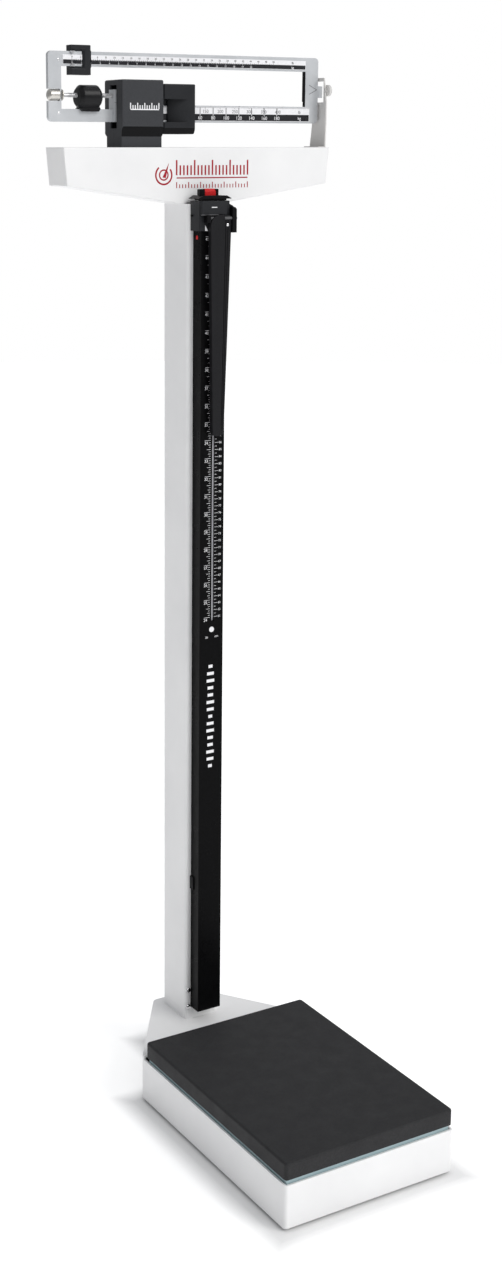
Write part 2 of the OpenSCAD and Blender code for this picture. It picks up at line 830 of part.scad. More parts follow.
// The weight on the screw, with a fork on the bar that stops it from turning.
module balance_weight() {
    fork_y = 8;
    fork_gap = 3.4;
    color("#252628") difference() {
        union() {
            rod_x(weight_x0, weight_x0 + weight_len, beam_y, bal_z - weight_drop, weight_r);
            plate_xz(beam_y - fork_y, beam_y + fork_y) translate([weight_x0, 0]) polygon([[1, 1402],
                [weight_len - 1, 1402], [weight_len - 1, 1396.5], [weight_len - 4, 1393.5], [4, 1393.5],
                [1, 1396.5]]);
        }
        rod_x(weight_x0 - eps, weight_x0 + weight_len + eps, beam_y, bal_z, screw_r + run_gap);
        block([weight_x0 - eps, beam_y - fork_gap, 1390], [weight_x0 + weight_len + eps, beam_y + fork_gap, 1397.2]);
    }
}

base_cover();
base_frame();
feet();
lever_stands();
column_foot();
column();
column_screws();
column_head();
beam_shelf();
shelf_screws();
tower_front_cover();
tower_rear_cover();
fulcrum_stand();
fulcrum_bearings();
transfer_stand();
trig_loop();
lock_knob();
rod_housing();
housing_clips();
housing_end_cap();
rod_stop();
rod_marker();
platform_cover();
platform_frame();
platform_rim();
platform_bearings();
long_lever();
long_lever_pivots();
short_lever();
short_lever_pivots();
lever_link();
draw_rod();
draw_rod_clevises();
transfer_lever();
transfer_pivots();
beam_link();
beam_frame();
beam_pivots();
beam_tip();
balance_post();
upper_scale();
lower_scale();
main_poise();
main_poise_pawl();
small_poise();
small_poise_pointer();
balance_screw();
balance_knob();
balance_weight();
inner_rod();
rod_cap();
button_housing();
release_button();
button_spring();
slider();
slider_ears();
hinge_screw();
headpiece();
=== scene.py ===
"""The looks of a physician beam scale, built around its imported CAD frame."""

import json
import math

import bmesh
import bpy
from mathutils import Matrix, Vector

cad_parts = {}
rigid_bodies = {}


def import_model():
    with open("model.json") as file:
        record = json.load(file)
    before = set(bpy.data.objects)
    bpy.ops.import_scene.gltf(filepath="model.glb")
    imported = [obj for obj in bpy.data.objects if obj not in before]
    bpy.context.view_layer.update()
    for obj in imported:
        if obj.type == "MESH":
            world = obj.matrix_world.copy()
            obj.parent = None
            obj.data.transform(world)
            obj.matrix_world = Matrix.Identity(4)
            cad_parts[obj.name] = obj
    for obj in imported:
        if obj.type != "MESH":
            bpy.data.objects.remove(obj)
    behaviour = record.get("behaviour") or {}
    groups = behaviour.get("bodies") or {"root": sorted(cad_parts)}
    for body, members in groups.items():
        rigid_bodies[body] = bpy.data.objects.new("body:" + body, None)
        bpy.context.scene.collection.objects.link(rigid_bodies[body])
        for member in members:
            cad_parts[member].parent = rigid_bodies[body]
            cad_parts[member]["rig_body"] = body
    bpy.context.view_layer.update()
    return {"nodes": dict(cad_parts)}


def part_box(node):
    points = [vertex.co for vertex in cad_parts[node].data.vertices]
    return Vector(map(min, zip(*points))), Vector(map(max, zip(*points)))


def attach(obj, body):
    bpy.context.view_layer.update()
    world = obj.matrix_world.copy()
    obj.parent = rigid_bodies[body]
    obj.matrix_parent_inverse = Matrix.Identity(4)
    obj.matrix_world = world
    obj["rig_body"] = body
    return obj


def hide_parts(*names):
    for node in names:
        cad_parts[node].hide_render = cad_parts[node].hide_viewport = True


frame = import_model()
MM = 0.001
NODES = frame["nodes"]


# ---------------------------------------------------------------- materials

def new_material(name, colour, rough, metal=0.0, **sockets):
    """A principled material with its uniform values set on the shader's own sockets."""
    mat = bpy.data.materials.new(name)
    mat.use_nodes = True
    shader = mat.node_tree.nodes["Principled BSDF"]
    shader.inputs["Base Color"].default_value = (*colour, 1)
    shader.inputs["Roughness"].default_value = rough
    shader.inputs["Metallic"].default_value = metal
    for key, value in sockets.items():
        shader.inputs[key.replace("_", " ")].default_value = value
    return mat


def add_node(mat, kind, **values):
    node = mat.node_tree.nodes.new(kind)
    for key, value in values.items():
        node.inputs[key.replace("_", " ")].default_value = value
    return node


def object_point(mat, stretch=(1, 1, 1)):
    """The point in the row frame, stretched, for a texture."""
    links = mat.node_tree.links
    where = add_node(mat, "ShaderNodeTexCoord")
    scale = add_node(mat, "ShaderNodeMapping", Scale=stretch)
    links.new(where.outputs["Object"], scale.inputs["Vector"])
    return scale.outputs["Vector"]


def noise(mat, scale, stretch=(1, 1, 1), detail=3.0, roughness=0.55):
    node = add_node(mat, "ShaderNodeTexNoise", Scale=scale, Detail=detail, Roughness=roughness)
    mat.node_tree.links.new(object_point(mat, stretch), node.inputs["Vector"])
    return node.outputs["Fac"]


def ramp(mat, value, low, high, low_at=0.3, high_at=0.7):
    """Turns a texture's value into a number or colour between low and high."""
    links = mat.node_tree.links
    span = add_node(mat, "ShaderNodeMapRange", From_Min=low_at, From_Max=high_at)
    links.new(value, span.inputs["Value"])
    if isinstance(low, tuple):
        mix = mat.node_tree.nodes.new("ShaderNodeMix")
        mix.data_type = "RGBA"
        mix.inputs["A"].default_value = (*low, 1)
        mix.inputs["B"].default_value = (*high, 1)
        links.new(span.outputs["Result"], mix.inputs["Factor"])
        return mix.outputs["Result"]
    span.inputs["To Min"].default_value = low
    span.inputs["To Max"].default_value = high
    return span.outputs["Result"]


def feed(mat, socket, value):
    mat.node_tree.links.new(value, mat.node_tree.nodes["Principled BSDF"].inputs[socket])


def bump(mat, height, strength, distance, under=None):
    """Bump from a height texture. under is a bump it lies on."""
    node = add_node(mat, "ShaderNodeBump", Strength=strength, Distance=distance)
    mat.node_tree.links.new(height, node.inputs["Height"])
    if under:
        mat.node_tree.links.new(under, node.inputs["Normal"])
    feed(mat, "Normal", node.outputs["Normal"])
    return node.outputs["Normal"]


def painted(name, dark, light, rough, peel):
    """Powder coat: orange peel, a faint drift of shade and of gloss."""
    mat = new_material(name, light, rough)
    feed(mat, "Base Color", ramp(mat, noise(mat, 9, detail=4), dark, light))
    feed(mat, "Roughness", ramp(mat, noise(mat, 60), rough - 0.05, rough + 0.07))
    wide = bump(mat, noise(mat, 260, detail=1), 0.10, peel)
    bump(mat, noise(mat, 1400, detail=2), 0.16, peel * 0.5, wide)
    return mat


def moulded(name, dark, light, rough, grain, depth, strength=0.35, shine=0.28):
    """Moulded plastic with a fine spark texture."""
    mat = new_material(name, light, rough, Specular_IOR_Level=shine)
    feed(mat, "Base Color", ramp(mat, noise(mat, grain * 0.5, detail=5), dark, light))
    feed(mat, "Roughness", ramp(mat, noise(mat, 40), rough - 0.06, rough + 0.06))
    bump(mat, noise(mat, grain, detail=2, roughness=0.7), strength, depth)
    return mat


def metal(name, dark, light, rough, stretch, grain, strength=0.12, metallic=1.0):
    """Metal with a directional finish."""
    mat = new_material(name, light, rough, metallic)
    feed(mat, "Base Color", ramp(mat, noise(mat, 25, detail=4), dark, light))
    feed(mat, "Roughness", ramp(mat, noise(mat, grain, stretch), rough - 0.07, rough + 0.10))
    bump(mat, noise(mat, grain * 2, stretch, detail=2), strength, 0.00006)
    return mat


WHITE = painted("white_powder_coat", (0.80, 0.80, 0.805), (0.86, 0.86, 0.862), 0.38, 0.00022)
PALE = painted("pale_bracket_paint", (0.60, 0.585, 0.57), (0.67, 0.66, 0.645), 0.5, 0.0002)
RIM_BLUE = painted("pale_blue_frame_paint", (0.42, 0.56, 0.60), (0.50, 0.64, 0.67), 0.45, 0.0002)
DECK = moulded("platform_mat", (0.014, 0.014, 0.015), (0.030, 0.030, 0.032),
    0.62, 1500, 0.00030, 0.6, shine=0.22)
HOOD = moulded("charcoal_plastic", (0.036, 0.037, 0.041), (0.052, 0.054, 0.059),
    0.46, 2600, 0.00010, shine=0.16)
POISE = moulded("poise_plastic", (0.012, 0.013, 0.015), (0.021, 0.022, 0.025),
    0.42, 2600, 0.00008, shine=0.2)
BLACK = moulded("black_plastic", (0.003, 0.003, 0.0035), (0.006, 0.006, 0.007),
    0.36, 2200, 0.00006, shine=0.10)
BLADE = moulded("headpiece_plastic", (0.007, 0.007, 0.008), (0.014, 0.014, 0.016),
    0.45, 2400, 0.00009, shine=0.14)
RUBBER = moulded("foot_rubber", (0.015, 0.015, 0.015), (0.03, 0.03, 0.03), 0.8, 900, 0.0002)
RED = moulded("red_plastic", (0.50, 0.006, 0.008), (0.62, 0.010, 0.012), 0.28, 1200, 0.00003, 0.15)
LABEL = moulded("label_white", (0.80, 0.80, 0.82), (0.88, 0.88, 0.90), 0.30, 800, 0.00002, 0.1)
LABEL_DARK = moulded("label_black", (0.010, 0.010, 0.012), (0.022, 0.022, 0.026), 0.28, 800, 0.00002, 0.1)
INK_WHITE = moulded("ink_white", (0.78, 0.78, 0.80), (0.88, 0.88, 0.90), 0.5, 1800, 0.00001, 0.1)
INK_BLACK = moulded("ink_black", (0.010, 0.010, 0.010), (0.020, 0.020, 0.020), 0.5, 1800, 0.00001, 0.1)
INK_RED = moulded("ink_red", (0.30, 0.006, 0.016), (0.40, 0.010, 0.024), 0.45, 1800, 0.00001, 0.1)
# A grey used only for a painted edge highlight on the slider.
PAINTED_HIGHLIGHT_GREY = moulded("painted_highlight_grey", (0.14, 0.14, 0.15), (0.20, 0.20, 0.21), 0.4, 1500, 0.00003)
INK_GREY = moulded("ink_grey", (0.16, 0.16, 0.17), (0.22, 0.22, 0.23), 0.5, 1800, 0.00001, 0.1)
STRIP = moulded("inner_rod_white", (0.70, 0.70, 0.74), (0.80, 0.80, 0.84), 0.4, 600, 0.00003, 0.15)
EXTRUSION = moulded("black_extrusion", (0.002, 0.002, 0.0022), (0.004, 0.004, 0.0045),
    0.30, 700, 0.00003, 0.1, shine=0.05)
SILVER = metal("beam_silver", (0.49, 0.505, 0.525), (0.59, 0.605, 0.625), 0.46, (1, 1, 1), 900, 0.2,
    metallic=0.5)
STEEL = metal("turned_steel", (0.45, 0.45, 0.46), (0.62, 0.62, 0.63), 0.28, (0.3, 4, 4), 900)
CHROME = metal("polished_chrome", (0.72, 0.72, 0.73), (0.82, 0.82, 0.83), 0.14, (1, 1, 1), 300, 0.05)
KNURL = metal("knurled_nickel", (0.52, 0.50, 0.46), (0.72, 0.70, 0.66), 0.30, (1, 1, 1), 1200)
GLOSS_BLACK = moulded("black_enamel", (0.006, 0.006, 0.007), (0.011, 0.011, 0.012),
    0.30, 1200, 0.00003, 0.1, shine=0.2)
IRON = painted("painted_casting", (0.05, 0.05, 0.053), (0.10, 0.10, 0.105), 0.6, 0.0006)


# ---------------------------------------------------------------- mesh helpers

def clean_copy(node):
    """A copy of a CAD node's mesh with its seams closed and its flat faces whole."""
    bm = bmesh.new()
    bm.from_mesh(NODES[node].data)
    bmesh.ops.remove_doubles(bm, verts=bm.verts, dist=2e-6)
    bmesh.ops.dissolve_limit(bm, angle_limit=math.radians(0.8), verts=bm.verts, edges=bm.edges)
    return bm


def soften(bm, width, segments=3, where=None, sharp=35):
    """Rounds the sharp edges, or only those whose middle point and edge pass where."""
    picked = []
    for edge in bm.edges:
        if len(edge.link_faces) != 2 or edge.calc_face_angle(0) < math.radians(sharp):
            continue
        middle = (edge.verts[0].co + edge.verts[1].co) / 2
        if where is None or where(middle, edge):
            picked.append(edge)
    if picked:
        bmesh.ops.bevel(bm, geom=picked, offset=width, offset_type="OFFSET", segments=segments, profile=0.5,
            affect="EDGES", clamp_overlap=True)
    return bm


def piece(name, bm, material, body, replaces=(), smooth=42):
    """Turns a bmesh into a piece that rides on a body."""
    bmesh.ops.recalc_face_normals(bm, faces=bm.faces)
    mesh = bpy.data.meshes.new(name)
    bm.to_mesh(mesh)
    bm.free()
    mesh.polygons.foreach_set("use_smooth", [True] * len(mesh.polygons))
    mesh.set_sharp_from_angle(angle=math.radians(smooth))
    mesh.materials.append(material)
    obj = bpy.data.objects.new(name, mesh)
    bpy.context.scene.collection.objects.link(obj)
    weigh = obj.modifiers.new("even_normals", "WEIGHTED_NORMAL")
    weigh.keep_sharp = True
    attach(obj, body)
    if replaces:
        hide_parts(*replaces)
    return obj


def shaped(node, material, bm):
    """A piece that stands for one CAD node."""
    return piece(node + "_skin", bm, material, NODES[node]["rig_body"], [node])


def paint_shade_on_lower_bevel(obj, mat):
    """Gives the faces that look forwards and down a second, darker material: painted shade where little
    light reaches from below.
    """
    obj.data.materials.append(mat)
    for face in obj.data.polygons:
        if face.normal.z < -0.12 and face.normal.y < -0.6:
            face.material_index = 1


def softened(node, material, width=0.5 * MM, segments=2):
    """A piece that is its CAD node with the sharp edges rounded."""
    return shaped(node, material, soften(clean_copy(node), width, segments))


def add_box(bm, low, high):
    """Adds a box between two corners."""
    centre = [(a + b) / 2 for a, b in zip(low, high)]
    size = [b - a for a, b in zip(low, high)]
    place = Matrix.Translation(centre) @ Matrix.Diagonal((*size, 1))
    bmesh.ops.create_cube(bm, size=1, matrix=place)


def add_prism(bm, outline, y0, y1):
    """Adds a flat shape given by X and Z points, thick from y0 to y1."""
    front = [bm.verts.new((x, y0, z)) for x, z in outline]
    back = [bm.verts.new((x, y1, z)) for x, z in outline]
    bm.faces.new(front)
    bm.faces.new(reversed(back))
    count = len(outline)
    for i in range(count):
        j = (i + 1) % count
        bm.faces.new((front[j], front[i], back[i], back[j]))


def add_turned(bm, profile, centre, axis="X", steps=64, shape=None):
    """Adds a closed solid of revolution. profile is (place along the axis, radius) from end to end.
    shape(i, j, radius) may change a ring point's radius."""
    rings = []
    for j, (along, radius) in enumerate(profile):
        if radius < 1e-7:
            rings.append([bm.verts.new(turned_point(along, 0, 0, centre, axis))])
            continue
        ring = []
        for i in range(steps):
            angle = 2 * math.pi * i / steps
            r = shape(i, j, radius) if shape else radius
            ring.append(bm.verts.new(turned_point(along, r, angle, centre, axis)))
        rings.append(ring)
    for a, b in zip(rings, rings[1:]):
        for i in range(steps):
            k = (i + 1) % steps
            if len(a) == 1 and len(b) > 1:
                bm.faces.new((a[0], b[i], b[k]))
            elif len(b) == 1 and len(a) > 1:
                bm.faces.new((a[i], b[0], a[k]))
            elif len(a) > 1:
                bm.faces.new((a[i], b[i], b[k], a[k]))


def add_rod(bm, axis, x0, x1, radius, steps):
    """Adds a plain rod along X, between two places."""
    add_turned(bm, [(x0, 0), (x0, radius), (x1, radius), (x1, 0)], axis, "X", steps)


def turned_point(along, radius, angle, centre, axis):
    """A point of a ring about an axis through centre."""
    u = radius * math.cos(angle)
    v = radius * math.sin(angle)
    offset = {"X": (along, u, v), "Y": (u, along, v), "Z": (u, v, along)}[axis]
    return Vector(centre) + Vector(offset)


class Print:
    """Thin printed marks on an upright face that looks towards -Y."""
    thick = 0.10 * MM

    def __init__(self, y):
        self.bm = bmesh.new()
        self.y = y

    def bar(self, x0, z0, x1, z1):
        add_box(self.bm, (min(x0, x1), self.y - self.thick, min(z0, z1)),
            (max(x0, x1), self.y + self.thick, max(z0, z1)))

    def outline(self, points):
        add_prism(self.bm, points, self.y - self.thick, self.y + self.thick)

    def text(self, words, x, z, height, align="CENTER"):
        """Adds numerals or a unit, centred on z."""
        curve = bpy.data.curves.new("print", "FONT")
        curve.body = words
        curve.size = height / 0.69
        curve.align_x = align
        curve.resolution_u = 3
        curve.extrude = self.thick
        holder = bpy.data.objects.new("print", curve)
        mesh = bpy.data.meshes.new_from_object(holder)
        turn = Matrix.Rotation(math.pi / 2, 4, "X")
        mesh.transform(Matrix.Translation((x, self.y, z - height / 2)) @ turn)
        self.bm.from_mesh(mesh)
        bpy.data.objects.remove(holder)
        bpy.data.curves.remove(curve)
        bpy.data.meshes.remove(mesh)

    def build(self, name, material, body):
        """Turns the marks into one piece."""
        return piece(name, self.bm, material, body, smooth=30)


# ---------------------------------------------------------------- camera, light and floor

def add_camera():
    """A standing reader's view from the left front, level with the beam shelf."""
    camera = bpy.data.cameras.new("camera")
    camera.sensor_fit = "AUTO"
    camera.sensor_width = 36
    camera.lens = 49.69
    camera.shift_x = 0.0689
    camera.shift_y = -0.0865
    camera.clip_start = 0.05
    holder = bpy.data.objects.new("camera", camera)
    holder.location = (-1.264, -1.9143, 1.3496)
    turn, tip = math.radians(-29.81), math.radians(-12.25)
    holder.rotation_euler = (math.pi / 2 + tip, 0, turn)
    bpy.context.scene.collection.objects.link(holder)
    bpy.context.scene.camera = holder


def add_light(name, kind, place, target, power, size, colour=(1, 1, 1)):
    """A soft light. A sun's power is per square metre and its size an angle in degrees."""
    light = bpy.data.lights.new(name, kind)
    light.energy = power
    light.color = colour
    if kind == "SUN":
        light.angle = math.radians(size)
    else:
        light.shape = "DISK"
        light.size = size
    holder = bpy.data.objects.new(name, light)
    holder.location = place
    aim = Vector(target) - Vector(place)
    holder.rotation_euler = aim.to_track_quat("-Z", "Y").to_euler()
    bpy.context.scene.collection.objects.link(holder)


def add_world():
    """A soft white surround, a little brighter overhead and to the right."""
    world = bpy.data.worlds.new("studio")
    world.use_nodes = True
    bpy.context.scene.world = world
    nodes, links = world.node_tree.nodes, world.node_tree.links
    soft = nodes["Background"]
    soft.inputs["Color"].default_value = (0.97, 0.98, 1.0, 1)
    where = nodes.new("ShaderNodeTexCoord")
    towards = nodes.new("ShaderNodeVectorMath")
    towards.operation = "DOT_PRODUCT"
    towards.inputs[1].default_value = (0.14, 0, 0.30)
    links.new(where.outputs["Generated"], towards.inputs[0])
    level = nodes.new("ShaderNodeMath")
    level.operation = "ADD"
    level.inputs[1].default_value = 0.39
    links.new(towards.outputs["Value"], level.inputs[0])
    links.new(level.outputs["Value"], soft.inputs["Strength"])
    seen = nodes.new("ShaderNodeBackground")
    seen.inputs["Color"].default_value = (1, 1, 1, 1)
    seen.inputs["Strength"].default_value = 1.0
    path = nodes.new("ShaderNodeLightPath")
    mix = nodes.new("ShaderNodeMixShader")
    links.new(path.outputs["Is Camera Ray"], mix.inputs["Fac"])
    links.new(soft.outputs["Background"], mix.inputs[1])
    links.new(seen.outputs["Background"], mix.inputs[2])
    links.new(mix.outputs["Shader"], nodes["World Output"].inputs["Surface"])


def calculate(mat, operation, *values):
    """One step of arithmetic on numbers or texture values."""
    node = mat.node_tree.nodes.new("ShaderNodeMath")
    node.operation = operation
    for socket, value in zip(node.inputs, values):
        if isinstance(value, (int, float)):
            socket.default_value = value
        else:
            mat.node_tree.links.new(value, socket)
    return node.outputs["Value"]


def away_from_base(mat):
    """How far a point of the floor lies outside the base's outline: the wide part and its tail."""
    parts = mat.node_tree.nodes.new("ShaderNodeSeparateXYZ")
    mat.node_tree.links.new(object_point(mat), parts.inputs["Vector"])
    low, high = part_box("base_cover")
    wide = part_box("platform_rim")
    tail_half = 37.9 * MM
    nearest = None
    for half, front, rear in ((high.x, low.y, wide[1].y + 2 * MM), (tail_half, low.y, high.y)):
        middle, reach = (front + rear) / 2, (rear - front) / 2
        across = calculate(mat, "SUBTRACT", calculate(mat, "ABSOLUTE", parts.outputs["X"]), half)
        shifted = calculate(mat, "SUBTRACT", parts.outputs["Y"], middle)
        along = calculate(mat, "SUBTRACT", calculate(mat, "ABSOLUTE", shifted), reach)
        outside = calculate(mat, "MAXIMUM", across, along)
        nearest = outside if nearest is None else calculate(mat, "MINIMUM", nearest, outside)
    return nearest


def add_floor():
    """A pale floor that glows a little, except in a band around the base's outline where the glow fades to
    nothing: a painted contact shadow.
    """
    bm = bmesh.new()
    bmesh.ops.create_circle(bm, cap_ends=True, segments=96, radius=9)
    mesh = bpy.data.meshes.new("floor")
    bm.to_mesh(mesh)
    bm.free()
    floor = bpy.data.objects.new("floor", mesh)
    mat = new_material("studio_floor", (0.93, 0.93, 0.93), 0.9, Emission_Color=(1, 1, 1, 1))
    feed(mat, "Base Color", ramp(mat, noise(mat, 3), (0.92, 0.92, 0.92), (0.94, 0.94, 0.94)))
    # No glow within 12 mm of the base, full glow from 42 mm out: a painted contact shadow around the base.
    glow_with_painted_contact_shadow = ramp(mat, away_from_base(mat), 0.0, 0.40, low_at=12 * MM, high_at=42 * MM)
    feed(mat, "Emission Strength", glow_with_painted_contact_shadow)
    mesh.materials.append(mat)
    bpy.context.scene.collection.objects.link(floor)


add_camera()
add_world()
add_floor()
add_light("key", "SUN", (1.6, -2.9, 3.3), (0, 0, 0.9), 1.15, 32, (1, 0.99, 0.97))
add_light("head_fill", "AREA", (-0.3, -1.6, 2.4), (0, 0.2, 1.35), 5, 0.9)
bpy.context.scene.view_settings.view_transform = "Standard"
bpy.context.scene.view_settings.look = "None"


# ---------------------------------------------------------------- base and platform

def base_cover():
    """The white cover, with round upright corners."""
    low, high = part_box("base_cover")
    bm = clean_copy("base_cover")

    def corner(middle, edge):
        along = (edge.verts[0].co - edge.verts[1].co).normalized()
        outside = abs(middle.x) > high.x - 1 * MM
        outside = outside or middle.y < low.y + 1 * MM or middle.y > high.y - 1 * MM
        return abs(along.z) > 0.99 and outside and edge.calc_length() > 20 * MM
    soften(bm, 5 * MM, 6, corner)
    soften(bm, 0.9 * MM, 3)
    shaped("base_cover", WHITE, bm)


def platform_cover():
    """The deck's mat, rounded along its upper edge."""
    low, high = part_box("platform_cover")
    bm = clean_copy("platform_cover")

    def outer_edge(middle, edge):
        outside = middle.x < low.x + 6 * MM or middle.x > high.x - 6 * MM
        outside = outside or middle.y < low.y + 6 * MM or middle.y > high.y - 6 * MM
        return middle.z > high.z - 0.1 * MM and outside
    soften(bm, 3.2 * MM, 5, outer_edge)
    soften(bm, 0.6 * MM, 2, lambda middle, edge: middle.z < low.z + 0.1 * MM)
    shaped("platform_cover", DECK, bm)


base_cover()
platform_cover()
softened("platform_frame", IRON, 0.6 * MM)
softened("platform_rim", RIM_BLUE, 0.6 * MM)
softened("platform_bearings", IRON, 0.6 * MM)
softened("base_frame", IRON, 0.6 * MM)
softened("feet", RUBBER, 0.8 * MM)
for name in ("lever_stands", "column_foot", "column_head", "fulcrum_stand", "transfer_stand",
        "long_lever", "short_lever", "transfer_lever"):
    softened(name, IRON, 0.6 * MM)
for name in ("long_lever_pivots", "short_lever_pivots", "lever_link", "draw_rod",
        "draw_rod_clevises", "transfer_pivots", "beam_link", "beam_pivots", "fulcrum_bearings",
        "button_spring", "main_poise_pawl"):
    softened(name, STEEL, 0.25 * MM)


# ---------------------------------------------------------------- column and shelf

softened("column", WHITE, 0.6 * MM)
shelf = clean_copy("beam_shelf")
shelf_low, shelf_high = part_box("beam_shelf")
soften(shelf, 1.8 * MM, 4, lambda middle, edge: not (shelf_low.y + MM < middle.y < shelf_high.y - MM))
soften(shelf, 1.2 * MM, 3, lambda middle, edge: edge.calc_length() > 30 * MM)
shaped("beam_shelf", WHITE, shelf)


def screw(bm, centre, radius, rise):
    """A domed screw head on a face that looks towards -Y."""
    steps = 10
    profile = [(0, 0), (0, radius * 0.96)]
    for k in range(steps + 1):
        angle = math.pi / 2 * k / steps
        profile.append((rise * math.sin(angle) * 0.8 + rise * 0.2, radius * math.cos(angle)))
    add_turned(bm, [(-along, r) for along, r in profile], centre, "Y", 40)


def column_screws():
    """Four domed screws at the column's foot and their shanks."""
    bm = bmesh.new()
    low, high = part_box("column_screws")
    head, rise = 4 * MM, 3 * MM
    shank = [(0, 0), (0, 2 * MM), (12 * MM, 2 * MM), (12 * MM, 0)]
    for x in (low.x + head, high.x - head):
        for z in (low.z + head, high.z - head):
            screw(bm, (x, low.y + rise, z), head, rise - 0.1 * MM)
            add_turned(bm, shank, (x, low.y + rise, z), "Y", 32)
    shaped("column_screws", CHROME, bm)


column_screws()
softened("shelf_screws", CHROME, 0.3 * MM)
softened("housing_clips", BLACK, 0.7 * MM)


# ---------------------------------------------------------------- height rod

INCH = 25.4 * MM
CM = 10 * MM
SCALE_ZERO = 86.5 * MM
KG_IN_POUND = 0.45359


def height_scale():
    """Inches to the left of the middle line and centimetres to its right, read at the headpiece."""
    first_inch, last_inch = 24, 46
    first_cm, last_cm = 61, 117
    line = 0.22 * MM
    middle = 0.6 * MM
    gap = 3.3 * MM
    left, right = middle - gap, middle + gap
    marks = Print(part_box("rod_housing")[0].y)
    for eighth in range(first_inch * 8, last_inch * 8 + 1):
        z = SCALE_ZERO + eighth / 8 * INCH
        size = {0: 9.5, 4: 6.0, 2: 4.2, 6: 4.2}.get(eighth % 8, 2.8) * MM
        marks.bar(left - size, z - line, left, z + line)
        if eighth % 8 == 0:
            marks.text(str(eighth // 8), left - 7.2 * MM, z - 3.4 * MM, 4.0 * MM)
    for half_cm in range(first_cm * 2, last_cm * 2 + 1):
        z = SCALE_ZERO + (half_cm / 2) * CM
        size = (6.0 if half_cm % 2 == 0 else 3.4) * MM
        marks.bar(right, z - line, right + size, z + line)
        if half_cm % 2 == 0:
            marks.text(str(half_cm // 2), right + 9.0 * MM, z, 3.0 * MM)
    unit_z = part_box("rod_stop")[0].z - 6.5 * MM
    marks.text("in", middle - 8 * MM, unit_z, 4.2 * MM)
    marks.text("cm", middle + 8 * MM, unit_z, 3.4 * MM)
    marks.build("height_graduations", INK_WHITE, "base")


def housing_motif():
    """A plain motif: an upright row of dashes that swell and narrow."""
    marks = Print(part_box("rod_housing")[0].y)
    middle = -0.8 * MM
    foot, top = 472 * MM, 632 * MM
    dashes = 15
    pitch = (top - foot) / dashes
    for k in range(dashes):
        z = foot + pitch * k
        width = (3.2 + 3.2 * abs(math.sin(k * 0.9))) * MM
        marks.bar(middle - width, z, middle + width, z + pitch * 0.42)
    marks.build("housing_motif", INK_WHITE, "base")


def row_of_bars(marks, left, right, foot, count, half_width, tall, short, every):
    """Upright bars on one foot line. Every so many bars one is tall."""
    for k in range(count + 1):
        x = left + (right - left) * k / count
        height = tall if k % every == 0 else short
        marks.bar(x - half_width, foot, x + half_width, foot + height)


def dial_arc(marks, middle, outer, inner, gap):
    """A ring of short flats, with a gap at its top where gap is true."""
    steps = 48
    gap_from, gap_to = 0.6, 2.2
    for k in range(steps):
        a, b = 2 * math.pi * k / steps, 2 * math.pi * (k + 1) / steps
        if gap and gap_from < a < gap_to:
            continue
        corners = ((inner, a), (outer, a), (outer, b), (inner, b))
        marks.outline([(middle.x + r * math.cos(at), middle.y + r * math.sin(at)) for r, at in corners])


def shelf_motif():
    """A red motif on the shelf's front: a dial, a row of bold bars over a rule, and short ticks below."""
    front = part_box("beam_shelf")[0].y
    left, right = -40 * MM, 73 * MM
    rule_low, rule_high = 1306.2 * MM, 1307.8 * MM
    bars_foot, ticks_foot = 1310.7 * MM, 1293.5 * MM
    marks = Print(front)
    marks.bar(left, rule_low, right, rule_high)
    row_of_bars(marks, left, right, bars_foot, 20, 1.2 * MM, 20 * MM, 13 * MM, 5)
    row_of_bars(marks, left, right, ticks_foot, 24, 0.7 * MM, 8 * MM, 5 * MM, 4)
    middle = Vector((-60 * MM, 1311 * MM))
    dial_arc(marks, middle, 13.5 * MM, 11.2 * MM, True)
    dial_arc(marks, middle, 7.5 * MM, 5.6 * MM, False)
    needle = Print(front - 0.08 * MM)
    needle.outline([(middle.x - 2 * MM, middle.y - 3 * MM), (middle.x + 3 * MM, middle.y - 4 * MM),
        (middle.x + 8 * MM, middle.y + 16 * MM)])
    needle.build("shelf_motif_needle", INK_RED, "base")
    marks.build("shelf_motif", INK_RED, "base")


def rod_cap():
    """The roof-like cap of the rod, and a plain black skirt under it that closes the gap and paints the
    thin shadow line between cap and slider.
    """
    bm = soften(clean_copy("rod_cap"), 0.35 * MM, 2, sharp=20)
    shaped("rod_cap", BLACK, bm)
    low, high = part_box("rod_cap")
    half = 19 * MM
    # A black skirt under the cap: a painted shadow line between cap and slider.
    painted_shadow_skirt = bmesh.new()
    add_box(painted_shadow_skirt, (-half, low.y + 2 * MM, low.z - 2.2 * MM), (half, high.y - 5 * MM, low.z + 0.2 * MM))
    soften(painted_shadow_skirt, 0.4 * MM, 2)
    piece("rod_cap_painted_shadow_skirt", painted_shadow_skirt, BLACK, "inner_rod")


def button_parts():
    """The button's housing, and the red button with a sloping front and four grip lines."""
    low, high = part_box("button_housing")
    bm = clean_copy("button_housing")

    def outer(middle, edge):
        return middle.x < low.x + 0.5 * MM and middle.z > low.z + 1 * MM
    soften(bm, 1.7 * MM, 4, outer)
    soften(bm, 0.4 * MM, 2)
    shaped("button_housing", BLACK, bm)
    low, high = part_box("release_button")
    slope = 3.3 * MM
    reach = 3.4 * MM
    line_pitch = 0.62 * MM
    bm = bmesh.new()
    side = [(low.y, low.z), (high.y, low.z), (high.y, high.z), (low.y + reach, high.z),
        (low.y, high.z - slope)]
    ends = [[bm.verts.new((x, y, z)) for y, z in side] for x in (low.x, high.x)]
    bm.faces.new(ends[0])
    bm.faces.new(reversed(ends[1]))
    for k in range(5):
        j = (k + 1) % 5
        bm.faces.new((ends[0][j], ends[0][k], ends[1][k], ends[1][j]))
    for k in range(1, 5):
        cut = high.z - slope + 0.05 * MM + k * line_pitch
        geom = bm.verts[:] + bm.edges[:] + bm.faces[:]
        bmesh.ops.bisect_plane(bm, geom=geom, plane_co=(0, 0, cut), plane_no=(0, 0, 1))
    soften(bm, 0.35 * MM, 2, sharp=25)
    shaped("release_button", RED, bm)


